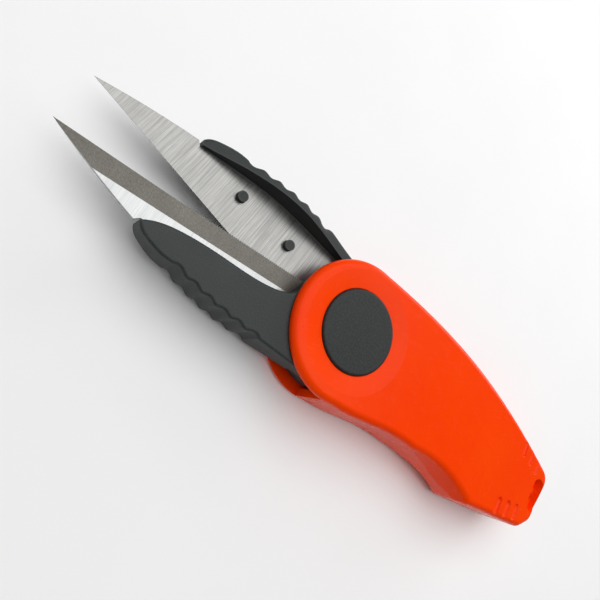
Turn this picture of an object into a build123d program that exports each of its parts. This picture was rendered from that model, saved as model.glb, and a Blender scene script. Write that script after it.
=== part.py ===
"""Folding thread snips: two sprung blades on thumb-rest arms, folding into a U-shaped cover.

The part lies on its back.  Z = 0 is the plane it rests on, and the Z axis is the pivot that
the arms and the cover share.  +X runs towards the blade tips and +Y is the side of the front
arm, whose plate faces up.  The blades slide over each other on the plane Z = MID.
"""
from build123d import *
import os
from math import cos, radians, sin, tan

os.makedirs("parts", exist_ok=True)

# ---- driving dimensions (millimetres and degrees) ----
THICKNESS = 12.0        # whole part, over the two cheeks of the cover
MID = THICKNESS / 2     # height of the plane where the blades meet
CHEEK = 1.5             # wall of each cheek
REACH = 60.0            # pivot to blade tip
OPEN_HALF = 4.5         # each arm's angle from the centre line, held open by the spring
EDGE_ANGLE = 4.2        # cutting edge against the line from tip to pivot

BLADE_T = 0.7           # blade thickness
EDGE_T = 0.08           # steel left at the cutting edge
BEVEL_W = 3.7           # width of the ground bevel
HEEL = (42.8, 5.8)      # widest point of the blade's back
TOOTH_PITCH = 0.44      # fine teeth on the front blade's edge
TOOTH_DEPTH = 0.28
TEETH_FROM = 13.0       # distances from the pivot
TEETH_TO = 37.0

ARM_HALF = 4.3          # half thickness of an arm, over its thumb rest
HUB_R = 12.0
SHEAR_GAP = 0.03        # each side of the plane MID
FIT = 0.05              # clearance of blades, pegs and pins in their seats
PEGS = [(31.2, 4.2), (19.1, 4.35)]
PEG_R = 1.0
PEG_PROUD = 0.9         # height of a peg over the blade's inner face
GRIP_START = 16.05      # first crest of the thumb rest
GRIP_PITCH = 3.1
GRIP_DEPTH = 0.45
GRIP_COUNT = 6

CAVITY_R = 5.1          # spring room inside the hubs
CAVITY_H = 2.1
COIL_R = 4.0            # spring: mean radius, wire radius, coil height
WIRE_R = 0.35
COIL_H = 2.8
COIL_TURNS = 4
LEG = 5.2               # length of each spring leg
LEG_SLOT = 1.9          # width of the slot in the hub that a leg pushes against
PIN_R = 1.5
HEAD_R = 2.7
HEAD_H = 0.7
WASHER_R = 3.5
WASHER_T = 0.3
CAP_R = 8.0
CAP_FIT = 0.08
CAP_ROUND = 0.5         # outer rim of a cap
CAP_PEG_R = 0.8
CAP_PEG_RING = 6.5
CAP_PEG_DEPTH = 1.6
CAP_PEG_ANGLES = (90, 210, 330)

SPINE_START = -0.8      # the spine starts this side of the pivot
TAIL_X = -65.3
CORNER_ROUND = 3.2      # corners of the tail, seen from above
EDGE_ROUND = 1.4        # outside edges of the cheeks
TAPER_FROM = -14.0      # the cheeks thin from here to the tail
TAPER = 1.3             # by this much each, at the tail's end
SCOOP_X = -31.0         # finger scoop: middle, depth line, radius and lean in degrees
SCOOP_Y = 9.3
SCOOP_R = 36.0
SCOOP_LEAN = 24
DISH_R = 11.6           # shallow dish around each pivot cap
DISH_DEPTH = 0.5
LANYARD = (-62.4, 0.5)  # hole in the tail, with an oval dish on both faces
LANYARD_R = 1.4
LANYARD_DISH = (8.4, 4.6)
LANYARD_DISH_DEPTH = 3.2
LANYARD_TAPER = 15
BLADE_SLOT = 2.4        # width of the slot in the tail that takes the folded blades
BLADE_SLOT_END = [(-60.6, -2.8), (-61.4, -6.0), (-61.4, -20)]
MARK_R = 0.8            # grip grooves in the tail
MARK_LENGTH = 2.4
MARK_LEVEL = 0.5        # depth of a groove's axis below the level of the cheek
GRIP_MARKS = [
    (-51.6, 8.2, 26), (-54.6, 7.5, 26), (-57.6, 6.8, 26),
    (-53.4, -6.6, -16), (-56.4, -6.0, -16), (-59.4, -5.3, -16),
]


# ---- frames of the two arms: the rear arm is the front one turned over about X ----
def arm_frame(side):
    """Plane along one arm: x towards its tip, y outwards, z away from the other arm."""
    angle = radians(OPEN_HALF)
    return Plane(origin=(0, 0, MID), x_dir=(cos(angle), side * sin(angle), 0), z_dir=(0, 0, side))


FRONT = arm_frame(1)
REAR = arm_frame(-1)

EDGE_SLOPE = tan(radians(EDGE_ANGLE))


def edge_y(x):
    """Cutting edge in an arm's frame, at distance x from the pivot."""
    return -(REACH - x) * EDGE_SLOPE


def crest_y(x):
    """Line through the crests of the thumb rest."""
    return 11.3 - 0.0065 * (x - GRIP_START) ** 2


def tooth_points():
    """Saw-tooth points of the fine edge, from the pivot side towards the tip."""
    count = int((TEETH_TO - TEETH_FROM) / TOOTH_PITCH)
    points = []
    for i in range(count):
        x = TEETH_FROM + i * TOOTH_PITCH
        points.append((x, edge_y(x)))
        middle = x + TOOTH_PITCH / 2
        points.append((middle, edge_y(middle) + TOOTH_DEPTH))
    return points


# ---- blades ----
# The tang's outer side lies along the inside of the thumb rest.
TANG_SIDE = [(41.9, 5.0), (35.2, 6.8), (27.0, 8.6), (17.0, 9.4), (9.4, 9.6)]
TANG_ROOT = 7.6         # radius of the tang's hollow end, around the spring room


def blade_outline(toothed):
    """Closed outline of a blade in its arm's frame, with or without teeth."""
    edge = tooth_points() if toothed else []
    start = (9.4, edge_y(9.4))
    with BuildLine() as line:
        Polyline(start, *edge, (REACH, 0))
        Spline((REACH, 0), (51.5, 3.15), HEEL)
        Polyline(HEEL, TANG_SIDE[0])
        Spline(*TANG_SIDE)
        ThreePointArc(TANG_SIDE[-1], (TANG_ROOT, 2.5), start)
    return line.line


def make_blade(frame, toothed):
    """A blade with its two peg holes and the ground bevel on its outer face."""
    with BuildPart() as blade:
        with BuildSketch(frame.offset(SHEAR_GAP)):
            add(blade_outline(toothed))
            make_face()
            with Locations(*PEGS):
                Circle(PEG_R + FIT, mode=Mode.SUBTRACT)
        extrude(amount=BLADE_T)
        angle = radians(EDGE_ANGLE)
        along = frame.x_dir * cos(angle) + frame.y_dir * sin(angle)
        across = frame.y_dir * cos(angle) - frame.x_dir * sin(angle)
        tip = frame.from_local_coords(Vector(REACH, 0, SHEAR_GAP))
        with BuildSketch(Plane(origin=tip, x_dir=across, z_dir=along).offset(2)):
            with BuildLine():
                below_edge = (-1, EDGE_T - (BLADE_T - EDGE_T) / BEVEL_W)
                Polyline(below_edge, (BEVEL_W, BLADE_T), (BEVEL_W, 2), (-1, 2), close=True)
            make_face()
        extrude(amount=-REACH, mode=Mode.SUBTRACT)
    return blade.part


# ---- arms ----
PLATE_ROUND = 0.5        # edges of the plate's outer face
REST_ROUND = 0.8         # outer edge along the top of the thumb rest
NOSE = [(37.1, 8.95), (39.6, 8.3), (41.7, 7.2), (42.3, 6.3)]
REST_END = (14.6, 11.4)  # where the grooves run out towards the hub
REST_ROOT = (6.4, 11.6)  # hub end of the thumb rest, just outside the other arm's hub
# Top of the thumb rest from nose to hub: distance from the pivot, height from the blade plane.
REST_CROWN = [
    (44.5, -0.6), (40.7, -1.1), (35.0, -2.6), (27.5, -3.9),
    (21.0, -4.2), (16.0, -3.5), (10.0, -2.2), (4.0, -1.6),
]
REST_STEP = 0.2          # ledge between the blade's back and the thumb rest
# Inner side of the plate, from the nose to the hub.
PLATE_SIDE = [(40.7, 5.3), (36.0, 3.95), (28.0, 3.25), (19.5, 2.65), (15.3, 1.3), (12.6, -2.4)]


def grip_points():
    """Crests and grooves of the thumb rest, from the hub to the nose."""
    points = []
    for i in range(2 * GRIP_COUNT + 1):
        x = GRIP_START + i * GRIP_PITCH / 2
        points.append((x, crest_y(x) - GRIP_DEPTH * (i % 2)))
    return points


def make_arm(frame):
    """An arm: plate with a blade seat and pegs, full-height thumb rest, and a hub."""
    with BuildPart() as arm:
        # thumb rest, which stands up past the blade and is highest beside its middle
        with BuildSketch(frame.offset(-ARM_HALF)):
            with BuildLine():
                rest = Spline(*grip_points())
                tip = Spline(rest @ 1, *NOSE)
                inside = Spline(*[(x, y + REST_STEP) for x, y in TANG_SIDE])
                Line(tip @ 1, inside @ 0)
                Polyline(inside @ 1, REST_ROOT, REST_END, rest @ 0)
            make_face()
        extrude(amount=ARM_HALF + SHEAR_GAP)
        with BuildSketch(Plane(frame.origin, x_dir=frame.x_dir, z_dir=-frame.y_dir)):
            with BuildLine():
                crown = Spline(*REST_CROWN)
                Polyline(crown @ 1, (REST_CROWN[-1][0], -9), (REST_CROWN[0][0], -9), crown @ 0)
            make_face()
        extrude(amount=-20, mode=Mode.SUBTRACT)
        crown_face = arm.faces().sort_by(frame_distance(frame))[0]
        long_edges = crown_face.edges().filter_by(lambda e: 8 < e.length < 24)
        fillet(long_edges.filter_by(lambda e: e.center().X > REST_END[0]), REST_ROUND)
        # plate, from the hub to the nose
        with BuildSketch(frame.offset(SHEAR_GAP)):
            with BuildLine():
                grip = Spline(*grip_points())
                nose = Spline(grip @ 1, *NOSE)
                inner = Spline(nose @ 1, *PLATE_SIDE)
                Polyline(inner @ 1, (8.0, -8.0), (0, HUB_R), REST_END, grip @ 0)
            make_face()
            Circle(HUB_R)
        extrude(amount=ARM_HALF - SHEAR_GAP)
        plate_face = arm.faces().sort_by(frame_distance(frame))[-1]
        fillet(plate_face.outer_wire().edges(), PLATE_ROUND)
        # seat of the blade, with the two pegs that hold it
        with BuildSketch(frame):
            add(blade_outline(False))
            make_face()
        extrude(amount=SHEAR_GAP + BLADE_T, mode=Mode.SUBTRACT)
        with BuildSketch(frame.offset(SHEAR_GAP - PEG_PROUD)):
            with Locations(*PEGS):
                Circle(PEG_R)
        extrude(amount=PEG_PROUD + BLADE_T + 4 * FIT)
        # spring room, pin hole, counterbore for the washer and the rivet's head
        with BuildSketch(frame):
            Circle(CAVITY_R)
            with Locations((COIL_R, 0)):
                Rectangle(LEG_SLOT, LEG + 0.8, align=(Align.CENTER, Align.MIN))
        extrude(amount=CAVITY_H, mode=Mode.SUBTRACT)
        with BuildSketch(frame):
            Circle(PIN_R + FIT)
        extrude(amount=ARM_HALF, mode=Mode.SUBTRACT)
        with BuildSketch(frame.offset(ARM_HALF)):
            Circle(WASHER_R + FIT)
        extrude(amount=-(HEAD_H + WASHER_T + 2 * FIT), mode=Mode.SUBTRACT)
        # holes for the cap's three pegs
        with BuildSketch(frame.offset(ARM_HALF)):
            with Locations(*cap_peg_places()):
                Circle(CAP_PEG_R + FIT)
        extrude(amount=-(CAP_PEG_DEPTH + 2 * FIT), mode=Mode.SUBTRACT)
    return arm.part


def frame_distance(frame):
    """Sort key: how far a shape's centre lies along the frame's z axis."""
    return lambda shape: frame.to_local_coords(shape.center()).Z


def cap_peg_places():
    """Centres of the pegs that hold a cap to its hub."""
    return [
        (CAP_PEG_RING * cos(radians(a)), CAP_PEG_RING * sin(radians(a)))
        for a in CAP_PEG_ANGLES
    ]


def make_cap(frame):
    """A pivot cap: the round bearing that fills a cheek's window, pegged into the hub."""
    with BuildPart() as cap:
        with BuildSketch(frame.offset(ARM_HALF)):
            Circle(CAP_R)
        extrude(amount=MID - ARM_HALF)
        rim = cap.edges().filter_by(GeomType.CIRCLE).sort_by(frame_distance(frame))[-1]
        fillet(rim, CAP_ROUND)
        with BuildSketch(frame.offset(ARM_HALF)):
            with Locations(*cap_peg_places()):
                Circle(CAP_PEG_R)
        extrude(amount=-CAP_PEG_DEPTH)
    return cap.part


def make_washer(frame):
    """Thin washer between the hub and the rivet's head."""
    height = ARM_HALF - HEAD_H - WASHER_T - FIT
    with BuildPart() as washer:
        with BuildSketch(frame.offset(height)):
            Circle(WASHER_R)
            Circle(PIN_R + FIT, mode=Mode.SUBTRACT)
        extrude(amount=WASHER_T)
    return washer.part


# ---- arms, blades, caps and washers: the same pieces for both sides ----
for side_name, frame in (("front", FRONT), ("rear", REAR)):
    pieces = {
        "arm": make_arm(frame),
        "blade": make_blade(frame, toothed=side_name == "front"),
        "pivot_cap": make_cap(frame),
        "pivot_washer": make_washer(frame),
    }
    for piece_name, piece in pieces.items():
        piece.label = f"{side_name}_{piece_name}"
        export_step(piece, f"parts/{piece.label}.step")

# ---- pivot rivet: a shaft with a flat head at each end ----
head_from = ARM_HALF - HEAD_H
with BuildPart() as pivot_rivet:
    with BuildSketch(Plane.XY.offset(MID - ARM_HALF)):
        Circle(HEAD_R)
    extrude(amount=HEAD_H)
    with BuildSketch(Plane.XY.offset(MID - head_from)):
        Circle(PIN_R)
    extrude(amount=2 * head_from)
    with BuildSketch(Plane.XY.offset(MID + head_from)):
        Circle(HEAD_R)
    extrude(amount=HEAD_H)
pivot_rivet.part.label = "pivot_rivet"
export_step(pivot_rivet.part, "parts/pivot_rivet.step")

# ---- torsion spring: a coil around the rivet with a leg in each hub ----
with BuildPart() as torsion_spring:
    with BuildLine(Plane.XY.offset(MID - COIL_H / 2)) as wire:
        coil = Helix(pitch=COIL_H / COIL_TURNS, height=COIL_H, radius=COIL_R)
        start_leg = Line(coil @ 0 - (coil % 0) * LEG, coil @ 0)
        end_leg = Line(coil @ 1, coil @ 1 + (coil % 1) * LEG)
    with BuildSketch(Plane(origin=wire.line @ 0, z_dir=wire.line % 0)):
        Circle(WIRE_R)
    sweep(path=wire.line, is_frenet=True)
torsion_spring.part.label = "torsion_spring"
export_step(torsion_spring.part, "parts/torsion_spring.step")

# ---- cover: two cheeks joined by a spine, with a solid tail ----
HEAD_END = (-3.0, 13.75)       # where the round head runs into the spine
SPINE = [(-42.0, 12.6), (-34.0, 11.3), (-25.5, 10.6), (-16.0, 11.35), (-9.0, 12.9)]
TAIL_LOW = (TAIL_X, -5.5)
TAIL_HIGH = (TAIL_X + 1.4, 6.0)
TAIL_SIDE = (TAIL_X + 4.3, 8.9)
CAVITY_END = -44.2             # end of the room for the folded arms
CAVITY_WALL = [(CAVITY_END, 9.0), (-34.0, 9.1), (-25.5, 9.6), (-16.0, 10.45), (-9.0, 12.0), (-3.0, 12.4)]

with BuildPart() as cover:
    with BuildSketch() as plan:
        with BuildLine():
            head = ThreePointArc(HEAD_END, (13.9, 0.4), (0.2, -13.3))
            Spline(head @ 1, (-13.0, -13.9), (-34.0, -12.7), (-52.0, -9.2), TAIL_LOW)
            Polyline(TAIL_LOW, TAIL_HIGH, TAIL_SIDE, SPINE[0])
            Spline(*SPINE, head @ 0)
        make_face()
        fillet(plan.vertices().sort_by(Axis.X)[:4], CORNER_ROUND)
    extrude(amount=THICKNESS)
    for side in (1, -1):
        level = MID + side * MID
        outside = level + side * 5
        # each cheek thins towards the tail
        with BuildSketch(Plane.XZ):
            with BuildLine():
                slope = Spline(
                    (TAPER_FROM, level),
                    (-40, level - side * 0.3 * TAPER),
                    (TAIL_X - 5, level - side * 1.1 * TAPER),
                    tangents=((-1, 0), (-1, -0.05 * side)),
                )
                Polyline(slope @ 1, (TAIL_X - 5, outside), (TAPER_FROM, outside), slope @ 0)
            make_face()
        extrude(amount=30, both=True, mode=Mode.SUBTRACT)
        # finger scoop: a leaning round cut along the edge of the spine
        lean = radians(SCOOP_LEAN)
        centre = (SCOOP_X, SCOOP_Y + SCOOP_R / cos(lean), level)
        with BuildSketch(Plane(origin=centre, x_dir=(1, 0, 0), z_dir=(0, -side * sin(lean), cos(lean)))):
            Circle(SCOOP_R)
        extrude(amount=40, both=True, mode=Mode.SUBTRACT)
    upright = cover.edges().filter_by(lambda e: abs((e @ 0).Z - (e @ 1).Z) > THICKNESS / 2)
    fillet(cover.edges() - upright - cover.edges().filter_by_position(Axis.Z, MID, MID), EDGE_ROUND)
    # room between the cheeks for the hubs and the folded arms, open towards +X and -Y
    with BuildSketch(Plane.XY.offset(CHEEK)):
        with BuildLine():
            wall = Spline(*CAVITY_WALL)
            front = Polyline(wall @ 1, (SPINE_START, HUB_R + 0.5), (SPINE_START, 30), (30, 30))
            Polyline(front @ 1, (30, -40), (-45, -40), (CAVITY_END, -8), wall @ 0)
        make_face()
    extrude(amount=THICKNESS - 2 * CHEEK, mode=Mode.SUBTRACT)
    # slot in the tail for the folded blades
    with BuildSketch(Plane.XY.offset(MID - BLADE_SLOT / 2)):
        with BuildLine():
            Polyline((CAVITY_END + 1, -20), (CAVITY_END + 1, 3.8), *BLADE_SLOT_END, close=True)
        make_face()
    extrude(amount=BLADE_SLOT, mode=Mode.SUBTRACT)
    # windows for the pivot caps
    with BuildSketch():
        Circle(CAP_R + CAP_FIT)
    extrude(amount=THICKNESS, mode=Mode.SUBTRACT)
    # lanyard hole
    with BuildSketch():
        with Locations(LANYARD):
            Circle(LANYARD_R)
    extrude(amount=THICKNESS, mode=Mode.SUBTRACT)
    for side in (1, -1):
        level = MID + side * MID
        # shallow dish around each window, which leaves the cap standing proud
        with BuildSketch(Plane.XZ):
            with BuildLine():
                low = (CAP_R, level - side * DISH_DEPTH)
                ThreePointArc(low, (CAP_R + 2.2, level - side * 0.17), (DISH_R, level))
                Polyline((DISH_R, level), (CAP_R, level + side), low)
            make_face()
        revolve(axis=Axis.Z, mode=Mode.SUBTRACT)
        # oval dish around the lanyard hole
        with BuildSketch(Plane.XY.offset(level)):
            with Locations(LANYARD):
                SlotOverall(*LANYARD_DISH, rotation=90)
        extrude(amount=-side * LANYARD_DISH_DEPTH, taper=LANYARD_TAPER, mode=Mode.SUBTRACT)
        # short grip grooves near both edges of the tail
        for x, y, turn in GRIP_MARKS:
            with Locations(Location((x, y, level - side * MARK_LEVEL), (90, 0, turn))):
                Cylinder(MARK_R, MARK_LENGTH, mode=Mode.SUBTRACT)
                with Locations((0, 0, MARK_LENGTH / 2), (0, 0, -MARK_LENGTH / 2)):
                    Sphere(MARK_R, mode=Mode.SUBTRACT)
cover.part.label = "cover"
export_step(cover.part, "parts/cover.step")
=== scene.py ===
"""Looks of the folding thread snips: materials, floor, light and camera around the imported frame."""
from math import radians
import bpy
from mathutils import Matrix, Vector


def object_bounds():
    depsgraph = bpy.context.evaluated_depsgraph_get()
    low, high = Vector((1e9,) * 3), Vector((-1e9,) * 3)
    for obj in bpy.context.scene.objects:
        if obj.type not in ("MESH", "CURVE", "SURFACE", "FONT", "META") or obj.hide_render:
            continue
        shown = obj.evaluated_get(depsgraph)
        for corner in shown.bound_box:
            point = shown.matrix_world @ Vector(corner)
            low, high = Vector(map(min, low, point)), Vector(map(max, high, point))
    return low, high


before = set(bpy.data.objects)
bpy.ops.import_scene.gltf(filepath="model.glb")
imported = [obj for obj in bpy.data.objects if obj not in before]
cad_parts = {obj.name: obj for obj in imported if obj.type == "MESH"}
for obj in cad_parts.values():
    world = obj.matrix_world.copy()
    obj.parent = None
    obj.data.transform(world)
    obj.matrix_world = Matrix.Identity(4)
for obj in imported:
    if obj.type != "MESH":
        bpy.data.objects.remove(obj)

cad_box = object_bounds()
MM = 0.001
EDGE_SAMPLES = 6                # rays that find the small edges of a piece
MIX_A, MIX_B, MIX_RESULT = 6, 7, 2      # colour sockets of a Mix node, whose names repeat

# ---- palette: linear colours, each pair from its darker to its paler ----
COVER_REDS = ((0.97, 0.046, 0.0), (1.0, 0.058, 0.0))
ARM_HUE = (0.82, 1.0, 0.97)     # times a tone
ARM_TONE = 0.027
CAP_TONE = 0.013
ARM_SPECK = (0.06, 0.068, 0.066)
ARM_WORN = (0.085, 0.09, 0.088)
FRONT_STEEL = (0.5, 0.505, 0.505)
FRONT_BRUSHING = 0.32           # how much darker the brush lines are
# the rear blade's steel is the front blade's steel made darker: painted shade
REAR_STEEL_PAINTED_SHADE = (0.36, 0.357, 0.345)
REAR_BRUSHING = 0.5
# dark bevel steel: partly its coarser ground grain, partly painted shade for a bevel leaning away from
# the light
BEVEL_GRIND_AND_SHADE = ((0.105, 0.099, 0.088), (0.175, 0.167, 0.15))
WIRE_STEEL = ((0.36, 0.35, 0.34), (0.58, 0.58, 0.58))
RIVET_STEEL = ((0.42, 0.42, 0.42), (0.6, 0.6, 0.6))
FLOOR_WHITES = ((0.93, 0.93, 0.93), (0.95, 0.95, 0.95))


# ---- small helpers for node trees ----
def new_material(name):
    """An empty node material: returns the material, its tree and its Principled shader."""
    material = bpy.data.materials.new(name)
    material.use_nodes = True
    tree = material.node_tree
    tree.nodes.clear()
    output = tree.nodes.new("ShaderNodeOutputMaterial")
    shader = tree.nodes.new("ShaderNodeBsdfPrincipled")
    tree.links.new(shader.outputs["BSDF"], output.inputs["Surface"])
    return material, tree, shader


def feed(tree, socket, value):
    """Links a socket or sets a constant."""
    if isinstance(value, bpy.types.NodeSocket):
        tree.links.new(value, socket)
    else:
        socket.default_value = value


def place(tree, scale=(1, 1, 1), turn=0.0):
    """Coordinates of the piece itself, in metres, turned about Z and then scaled per axis."""
    coords = tree.nodes.new("ShaderNodeTexCoord")
    mapping = tree.nodes.new("ShaderNodeMapping")
    mapping.vector_type = "TEXTURE"
    mapping.inputs["Rotation"].default_value = (0, 0, turn)
    mapping.inputs["Scale"].default_value = tuple(1 / s for s in scale)
    tree.links.new(coords.outputs["Object"], mapping.inputs["Vector"])
    return mapping.outputs["Vector"]


def noise(tree, vector, scale, detail=3.0, roughness=0.5):
    """Noise value from 0 to 1."""
    node = tree.nodes.new("ShaderNodeTexNoise")
    tree.links.new(vector, node.inputs["Vector"])
    node.inputs["Scale"].default_value = scale
    node.inputs["Detail"].default_value = detail
    node.inputs["Roughness"].default_value = roughness
    return node.outputs["Fac"]


def grains(tree, vector, scale):
    """Distance to the nearest grain of a fine moulded texture."""
    node = tree.nodes.new("ShaderNodeTexVoronoi")
    tree.links.new(vector, node.inputs["Vector"])
    node.inputs["Scale"].default_value = scale
    return node.outputs["Distance"]


def ramp(tree, value, colours, start=0.3, end=0.7):
    """Blend from the first colour where the value is start to the second where it is end."""
    node = tree.nodes.new("ShaderNodeValToRGB")
    tree.links.new(value, node.inputs["Fac"])
    for element, position, colour in zip(node.color_ramp.elements, (start, end), colours):
        element.position = position
        element.color = colour + (1,)
    return node.outputs["Color"]


def spread(tree, value, low, high, from_low=0.3, from_high=0.7):
    """Maps a value from one range to another; most of a noise lies between 0.3 and 0.7."""
    node = tree.nodes.new("ShaderNodeMapRange")
    tree.links.new(value, node.inputs["Value"])
    node.inputs["From Min"].default_value = from_low
    node.inputs["From Max"].default_value = from_high
    node.inputs["To Min"].default_value = low
    node.inputs["To Max"].default_value = high
    return node.outputs["Result"]


def maths(tree, operation, a, b=0.0):
    """One maths node."""
    node = tree.nodes.new("ShaderNodeMath")
    node.operation = operation
    feed(tree, node.inputs[0], a)
    feed(tree, node.inputs[1], b)
    return node.outputs[0]


def mix(tree, factor, a, b):
    """Blend of two colours."""
    node = tree.nodes.new("ShaderNodeMix")
    node.data_type = "RGBA"
    feed(tree, node.inputs["Factor"], factor)
    for socket, colour in ((node.inputs[MIX_A], a), (node.inputs[MIX_B], b)):
        feed(tree, socket, colour if isinstance(colour, bpy.types.NodeSocket) else colour + (1,))
    return node.outputs[MIX_RESULT]


def bump(tree, height, distance, strength=1.0, under=None):
    """Bump of a height value; distance is the relief in metres."""
    node = tree.nodes.new("ShaderNodeBump")
    tree.links.new(height, node.inputs["Height"])
    node.inputs["Distance"].default_value = distance
    node.inputs["Strength"].default_value = strength
    if under is not None:
        tree.links.new(under, node.inputs["Normal"])
    return node.outputs["Normal"]


def soft_edges(tree, radius):
    """Normal that rounds the small edges of a piece."""
    bevel = tree.nodes.new("ShaderNodeBevel")
    bevel.samples = EDGE_SAMPLES
    bevel.inputs["Radius"].default_value = radius
    return bevel.outputs["Normal"]


def edge_wear(tree, radius):
    """About 1 on the piece's edges and 0 on its flats, where the rounded normal is the real one."""
    geometry = tree.nodes.new("ShaderNodeNewGeometry")
    dot = tree.nodes.new("ShaderNodeVectorMath")
    dot.operation = "DOT_PRODUCT"
    tree.links.new(geometry.outputs["Normal"], dot.inputs[0])
    tree.links.new(soft_edges(tree, radius), dot.inputs[1])
    return spread(tree, dot.outputs["Value"], 1.0, 0.0, 0.9, 0.995)


def on_bevel(tree):
    """1 on a blade's ground bevel, whose normal leans over its edge, and 0 on its flats and rim."""
    coords = tree.nodes.new("ShaderNodeTexCoord")
    axes = tree.nodes.new("ShaderNodeSeparateXYZ")
    tree.links.new(coords.outputs["Normal"], axes.inputs["Vector"])
    leaning = spread(tree, maths(tree, "ABSOLUTE", axes.outputs["Y"]), 0.0, 1.0, 0.08, 0.14)
    facing = spread(tree, maths(tree, "ABSOLUTE", axes.outputs["Z"]), 0.0, 1.0, 0.9, 0.95)
    return maths(tree, "MULTIPLY", leaning, facing)


# ---- materials ----
def cover_plastic():
    """Semi-gloss orange-red nylon: faint flow mottling, fine orange peel, hair scratches."""
    material, tree, shader = new_material("cover_plastic_moulded")
    here = place(tree)
    flow = noise(tree, here, 60, 4)
    cloud = noise(tree, here, 420, 3)
    scratch = noise(tree, place(tree, (60, 1800, 1800), radians(28)), 1.0, 2)
    feed(tree, shader.inputs["Base Color"], ramp(tree, flow, COVER_REDS))
    scuff = spread(tree, scratch, 0.0, 0.04, 0.62, 0.72)
    rough = maths(tree, "ADD", spread(tree, cloud, 0.21, 0.29), scuff)
    feed(tree, shader.inputs["Roughness"], rough)
    shader.inputs["IOR"].default_value = 1.45
    shader.inputs["Specular IOR Level"].default_value = 0.11
    shader.inputs["Subsurface Weight"].default_value = 0.1
    shader.inputs["Subsurface Radius"].default_value = (1.0, 0.25, 0.05)
    shader.inputs["Subsurface Scale"].default_value = 1.2 * MM
    peel = bump(tree, cloud, 0.006 * MM, 0.7, soft_edges(tree, 0.25 * MM))
    feed(tree, shader.inputs["Normal"], bump(tree, noise(tree, here, 2600, 2), 0.0016 * MM, 0.6, peel))
    return material


def arm_plastic(name, tone):
    """Dark nylon of the given tone with a fine moulded grain, paler where thumbs rub the edges."""
    material, tree, shader = new_material(name)
    here = place(tree)
    patch = noise(tree, here, 130, 3)
    grain = grains(tree, here, 5200)
    speck = noise(tree, here, 3400, 3, 0.6)
    greys = [tuple(tone * share * c for c in ARM_HUE) for share in (0.85, 1.15)]
    colour = ramp(tree, patch, greys)
    colour = mix(tree, spread(tree, speck, 0.0, 0.35, 0.46, 0.62), colour, ARM_SPECK)
    colour = mix(tree, edge_wear(tree, 0.35 * MM), colour, ARM_WORN)
    feed(tree, shader.inputs["Base Color"], colour)
    feed(tree, shader.inputs["Roughness"], spread(tree, speck, 0.46, 0.66))
    shader.inputs["IOR"].default_value = 1.5
    shader.inputs["Specular IOR Level"].default_value = 0.35
    coarse = bump(tree, speck, 0.014 * MM, 0.5, soft_edges(tree, 0.2 * MM))
    feed(tree, shader.inputs["Normal"], bump(tree, grain, 0.012 * MM, 0.6, coarse))
    return material


def blade_steel(name, turn, shade, depth):
    """Steel brushed across the blade: turn of the lines, their bright shade (for the rear blade a
    darker copy of the same steel, painted shade) and their depth.
    """
    material, tree, shader = new_material(name)
    lines = noise(tree, place(tree, (9000, 110, 300), turn), 1.0, 4, 0.75)
    broad = noise(tree, place(tree, (2600, 70, 200), turn), 1.0, 3)
    cloud = noise(tree, place(tree), 260, 4)
    ground = noise(tree, place(tree, (4600, 2400, 300), turn + radians(38)), 1.0, 4, 0.7)
    fine_share = maths(tree, "MULTIPLY", lines, 0.72)
    broad_share = maths(tree, "MULTIPLY", broad, 0.28)
    streak = maths(tree, "ADD", fine_share, broad_share)
    dark = tuple(c * (1 - depth) for c in shade)
    flat = ramp(tree, streak, (dark, shade), 0.38, 0.62)
    # the bevel is darker than the flats: partly its ground grain, partly painted shade
    slope_grind_and_shade = ramp(tree, ground, BEVEL_GRIND_AND_SHADE, 0.32, 0.68)
    bevel = on_bevel(tree)
    feed(tree, shader.inputs["Base Color"], mix(tree, bevel, flat, slope_grind_and_shade))
    shader.inputs["Metallic"].default_value = 1.0
    rough = maths(tree, "ADD", spread(tree, streak, 0.24, 0.38), spread(tree, cloud, 0.0, 0.08))
    rough = maths(tree, "ADD", rough, maths(tree, "MULTIPLY", bevel, 0.12))
    feed(tree, shader.inputs["Roughness"], rough)
    shader.inputs["Anisotropic"].default_value = 0.3
    feed(tree, shader.inputs["Normal"], bump(tree, lines, 0.004 * MM, 0.8, soft_edges(tree, 0.03 * MM)))
    return material


def spring_steel():
    """Drawn wire: bright, with faint lines along it and a film of oil."""
    material, tree, shader = new_material("spring_steel_drawn")
    here = place(tree, (1, 1, 4))
    film = noise(tree, here, 900, 3)
    feed(tree, shader.inputs["Base Color"], ramp(tree, film, WIRE_STEEL, 0.35, 0.65))
    shader.inputs["Metallic"].default_value = 1.0
    feed(tree, shader.inputs["Roughness"], spread(tree, film, 0.18, 0.34))
    feed(tree, shader.inputs["Normal"], bump(tree, noise(tree, here, 5000, 2), 0.002 * MM))
    return material


def rivet_steel():
    """Turned steel: fine rings around the pivot."""
    material, tree, shader = new_material("rivet_steel_turned")
    coords = tree.nodes.new("ShaderNodeTexCoord")
    rings = tree.nodes.new("ShaderNodeTexWave")
    rings.wave_type = "RINGS"
    rings.rings_direction = "Z"
    rings.inputs["Scale"].default_value = 900
    rings.inputs["Distortion"].default_value = 1.5
    tree.links.new(coords.outputs["Object"], rings.inputs["Vector"])
    feed(tree, shader.inputs["Base Color"], ramp(tree, rings.outputs["Fac"], RIVET_STEEL, 0.0, 1.0))
    shader.inputs["Metallic"].default_value = 1.0
    feed(tree, shader.inputs["Roughness"], spread(tree, noise(tree, place(tree), 800), 0.25, 0.4))
    feed(tree, shader.inputs["Normal"], bump(tree, rings.outputs["Fac"], 0.003 * MM))
    return material


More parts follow.
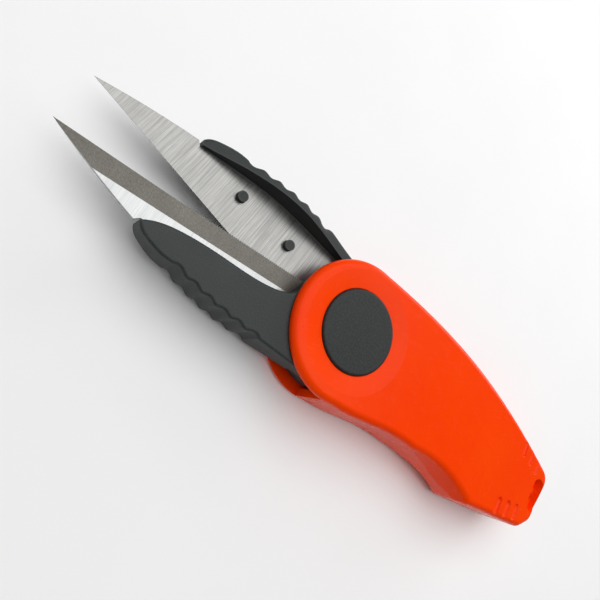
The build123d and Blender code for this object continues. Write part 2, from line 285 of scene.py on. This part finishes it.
def floor_paint():
    """Pale matt backdrop with a barely visible tooth."""
    material, tree, shader = new_material("floor_paper")
    here = place(tree)
    feed(tree, shader.inputs["Base Color"], ramp(tree, noise(tree, here, 30, 4), FLOOR_WHITES))
    shader.inputs["Roughness"].default_value = 0.9
    feed(tree, shader.inputs["Normal"], bump(tree, noise(tree, here, 1500, 3), 0.02 * MM, 0.3))
    return material


def paint(node, material):
    """Gives every slot of a CAD node one material."""
    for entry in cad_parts[node].material_slots:
        entry.link = "OBJECT"
        entry.material = material


BLADE_TURN = radians(4.5)       # each blade's angle from the centre line
ARM = arm_plastic("arm_plastic_textured", ARM_TONE)
CAP = arm_plastic("cap_plastic_textured", CAP_TONE)
RIVET = rivet_steel()
paint("cover", cover_plastic())
for side in ("front", "rear"):
    paint(side + "_arm", ARM)
    paint(side + "_pivot_cap", CAP)
    paint(side + "_pivot_washer", RIVET)
paint("front_blade", blade_steel("front_blade_steel", BLADE_TURN, FRONT_STEEL, FRONT_BRUSHING))
# the rear blade gets the same steel darkened, as painted shade
paint("rear_blade", blade_steel("rear_blade_steel_painted_shade", -BLADE_TURN, REAR_STEEL_PAINTED_SHADE, REAR_BRUSHING))
paint("pivot_rivet", RIVET)
paint("torsion_spring", spring_steel())

# ---- floor, a hair below the snips ----
FLOOR_SIZE = 1.0
FLOOR_GAP = 0.1 * MM
floor_level = cad_box[0][2] - FLOOR_GAP
bpy.ops.mesh.primitive_plane_add(size=FLOOR_SIZE, location=(0, 0, floor_level))
floor = bpy.context.object
floor.name = "floor"
floor.data.materials.append(floor_paint())


# ---- light ----
MIDDLE = (-0.005, 0, 0.006)     # middle of the snips, which the lights point at
LIGHT_DISTANCE = 0.6


def soft_light(name, direction, size, power):
    """A square soft light in a direction from the middle of the snips."""
    data = bpy.data.lights.new(name, "AREA")
    data.shape = "SQUARE"
    data.size = size
    data.energy = power
    lamp = bpy.data.objects.new(name, data)
    way = Vector(direction).normalized()
    lamp.location = Vector(MIDDLE) + way * LIGHT_DISTANCE
    lamp.rotation_euler = way.to_track_quat("Z", "Y").to_euler()
    bpy.context.scene.collection.objects.link(lamp)


soft_light("key_light", (0.05, -0.3, 1.0), 0.85, 4.6)
soft_light("left_light", (1.0, 0.15, 0.5), 0.35, 0.2)
soft_light("back_light", (-0.6, -0.85, 0.22), 0.4, 1.5)

bpy.context.scene.view_settings.view_transform = "Standard"
world = bpy.data.worlds.new("studio")
bpy.context.scene.world = world
world.use_nodes = True
# the backdrop looks pale past the floor's edge, but lights the object only faintly
AMBIENT = 0.12
BACKDROP = 0.9
sky = world.node_tree
backdrop = sky.nodes["Background"]
backdrop.inputs["Color"].default_value = (1, 1, 1, 1)
rays = sky.nodes.new("ShaderNodeLightPath")
strength = spread(sky, rays.outputs["Is Camera Ray"], AMBIENT, BACKDROP, 0, 1)
feed(sky, backdrop.inputs["Strength"], strength)

# ---- camera: close above the blades, looking back along the snips ----
SENSOR = 36                     # millimetres, as the lens
LENS = 31.5258
CAMERA_AT = (0.046818, 0.035297, 0.088490)
RIGHT = Vector((-0.69560691, -0.50177813, 0.51414953))
UP = Vector((0.61420378, -0.786605, 0.06329521))
camera_data = bpy.data.cameras.new("camera")
camera_data.sensor_width = SENSOR
camera_data.lens = LENS
camera_data.clip_start = 5 * MM
camera = bpy.data.objects.new("camera", camera_data)
turned = Matrix((RIGHT, UP, RIGHT.cross(UP))).transposed().to_4x4()
camera.matrix_world = Matrix.Translation(CAMERA_AT) @ turned
bpy.context.scene.collection.objects.link(camera)
bpy.context.scene.camera = camera
